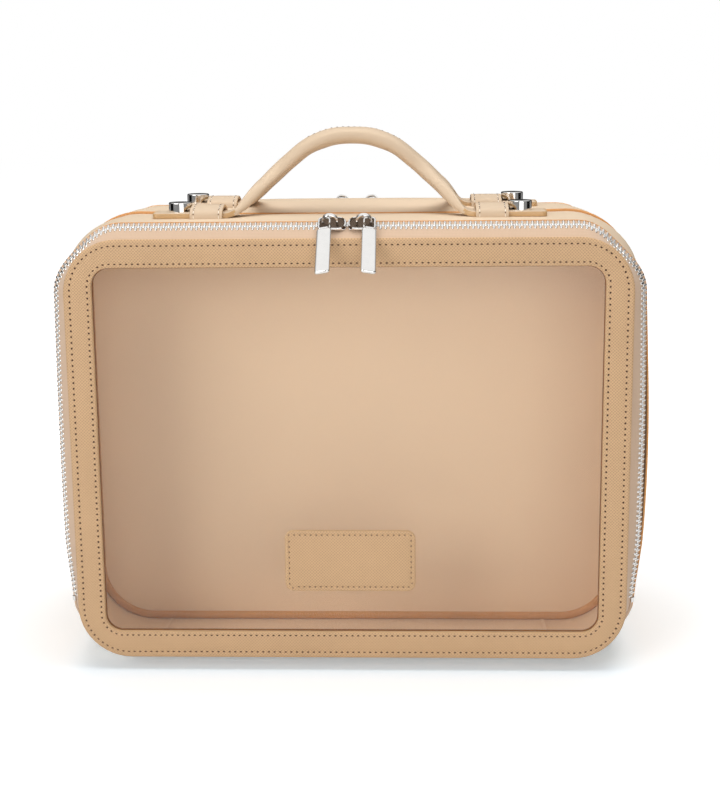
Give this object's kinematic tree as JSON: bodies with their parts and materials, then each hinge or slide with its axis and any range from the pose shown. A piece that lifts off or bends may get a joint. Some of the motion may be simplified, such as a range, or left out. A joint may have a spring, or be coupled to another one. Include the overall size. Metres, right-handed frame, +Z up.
{
  "type": "makeup train case",
  "caption": "Soft two-sided make-up train case with clear zip-round lids, a central divider and a forked carrying strap that slides in keepers.",
  "frame": {"origin": "centre of the footprint, on the surface the case stands on", "axes": "+X across the width to the right as seen from the front, +Y to the rear, +Z up; the lid with the label patch faces -Y"},
  "size_m": [0.3072, 0.1894, 0.2837],
  "materials": {
    "frame_leather": "tan crosshatch-embossed leather, semi-matt",
    "body_leather": "light tan padded leather, soft fine grain",
    "strap_leather": "light tan smooth leather with darker painted edges",
    "piping_leather": "brown leather cord piping",
    "hinge_leather": "tan leather, folded",
    "tape": "woven tan zip tape",
    "lining": "tan lining cloth",
    "binding": "brown binding tape",
    "clear_panel": "clear soft vinyl sheet",
    "nickel": "polished nickel"
  },
  "bodies": {
    "case": {"front_shell": "body_leather", "rear_shell": "body_leather", "seam_piping": "piping_leather", "front_lining": "lining", "rear_lining": "lining", "divider_panel": "lining", "front_binding": "binding", "rear_binding": "binding", "front_body_tape": "tape", "rear_body_tape": "tape", "front_body_teeth": "nickel", "rear_body_teeth": "nickel", "front_zip_stops": "nickel", "rear_zip_stops": "nickel", "front_hinge_strip": "hinge_leather", "rear_hinge_strip": "hinge_leather", "front_left_keeper": "strap_leather", "front_right_keeper": "strap_leather", "rear_left_keeper": "strap_leather", "rear_right_keeper": "strap_leather"},
    "front_lid": {"front_lid_frame": "frame_leather", "front_window": "clear_panel", "front_lid_backing": "lining", "front_lid_tape": "tape", "front_lid_teeth": "nickel", "front_hinge_flap": "hinge_leather", "label_patch": "frame_leather"},
    "rear_lid": {"rear_lid_frame": "frame_leather", "rear_window": "clear_panel", "rear_lid_backing": "lining", "rear_lid_tape": "tape", "rear_lid_teeth": "nickel", "rear_hinge_flap": "hinge_leather"},
    "front_left_slider_body": {"front_left_slider": "nickel"},
    "front_left_pull_body": {"front_left_pull": "nickel"},
    "front_right_slider_body": {"front_right_slider": "nickel"},
    "front_right_pull_body": {"front_right_pull": "nickel"},
    "rear_left_slider_body": {"rear_left_slider": "nickel"},
    "rear_left_pull_body": {"rear_left_pull": "nickel"},
    "rear_right_slider_body": {"rear_right_slider": "nickel"},
    "rear_right_pull_body": {"rear_right_pull": "nickel"},
    "left_strap_end": {"left_prongs": "strap_leather", "front_left_stud": "nickel", "rear_left_stud": "nickel"},
    "left_arm": {"left_foot": "strap_leather", "left_leg": "strap_leather"},
    "right_arm": {"right_leg": "strap_leather", "right_foot": "strap_leather"},
    "right_strap_end": {"right_prongs": "strap_leather", "front_right_stud": "nickel", "rear_right_stud": "nickel"}
  },
  "joints": [
    {"name": "front_lid_hinge", "type": "hinge", "parent": "case", "child": "front_lid", "pos_m": [0, -0.066, 0.0075], "axis": [1, 0, 0], "range_deg": [0, 83]},
    {"name": "rear_lid_hinge", "type": "hinge", "parent": "case", "child": "rear_lid", "pos_m": [0, 0.066, 0.0075], "axis": [-1, 0, 0], "range_deg": [0, 83]},
    {"name": "front_left_zip", "type": "slide", "parent": "front_lid", "child": "front_left_slider_body", "axis": [-1, 0, 0], "range_m": [0, 0.098]},
    {"name": "front_left_pull_swing", "type": "hinge", "parent": "front_left_slider_body", "child": "front_left_pull_body", "pos_m": [-0.01144, -0.06683, 0.23857], "axis": [-1, 0, 0], "range_deg": [0, 35]},
    {"name": "front_right_zip", "type": "slide", "parent": "front_lid", "child": "front_right_slider_body", "axis": [1, 0, 0], "range_m": [0, 0.098]},
    {"name": "front_right_pull_swing", "type": "hinge", "parent": "front_right_slider_body", "child": "front_right_pull_body", "pos_m": [0.01144, -0.06683, 0.23857], "axis": [-1, 0, 0], "range_deg": [0, 35]},
    {"name": "rear_left_zip", "type": "slide", "parent": "rear_lid", "child": "rear_left_slider_body", "axis": [-1, 0, 0], "range_m": [0, 0.098]},
    {"name": "rear_left_pull_swing", "type": "hinge", "parent": "rear_left_slider_body", "child": "rear_left_pull_body", "pos_m": [-0.01144, 0.06683, 0.23857], "axis": [1, 0, 0], "range_deg": [0, 35]},
    {"name": "rear_right_zip", "type": "slide", "parent": "rear_lid", "child": "rear_right_slider_body", "axis": [1, 0, 0], "range_m": [0, 0.098]},
    {"name": "rear_right_pull_swing", "type": "hinge", "parent": "rear_right_slider_body", "child": "rear_right_pull_body", "pos_m": [0.01144, 0.06683, 0.23857], "axis": [1, 0, 0], "range_deg": [0, 35]},
    {"name": "handle_slide", "type": "slide", "parent": "case", "child": "left_strap_end", "axis": [-1, 0, 0], "range_m": [0, 0.011]},
    {"name": "handle_left_bend", "type": "hinge", "parent": "left_strap_end", "child": "left_arm", "pos_m": [-0.066, 0, 0.23941], "axis": [0, 1, 0], "range_deg": [0, 19.54], "deforming": ["left_foot"]},
    {"name": "handle_top_bend", "type": "hinge", "parent": "left_arm", "child": "right_arm", "pos_m": [0, 0, 0.28366], "axis": [0, -1, 0], "range_deg": [0, 39.08]},
    {"name": "handle_right_bend", "type": "hinge", "parent": "right_arm", "child": "right_strap_end", "pos_m": [0.066, 0, 0.23941], "axis": [0, 1, 0], "range_deg": [0, 19.54], "deforming": ["right_foot"]}
  ],
  "couplings": [
    {"joint": "handle_left_bend", "follows": "handle_slide", "rad_per_m": 31},
    {"joint": "handle_top_bend", "follows": "handle_slide", "rad_per_m": 62},
    {"joint": "handle_right_bend", "follows": "handle_slide", "rad_per_m": 31}
  ]
}
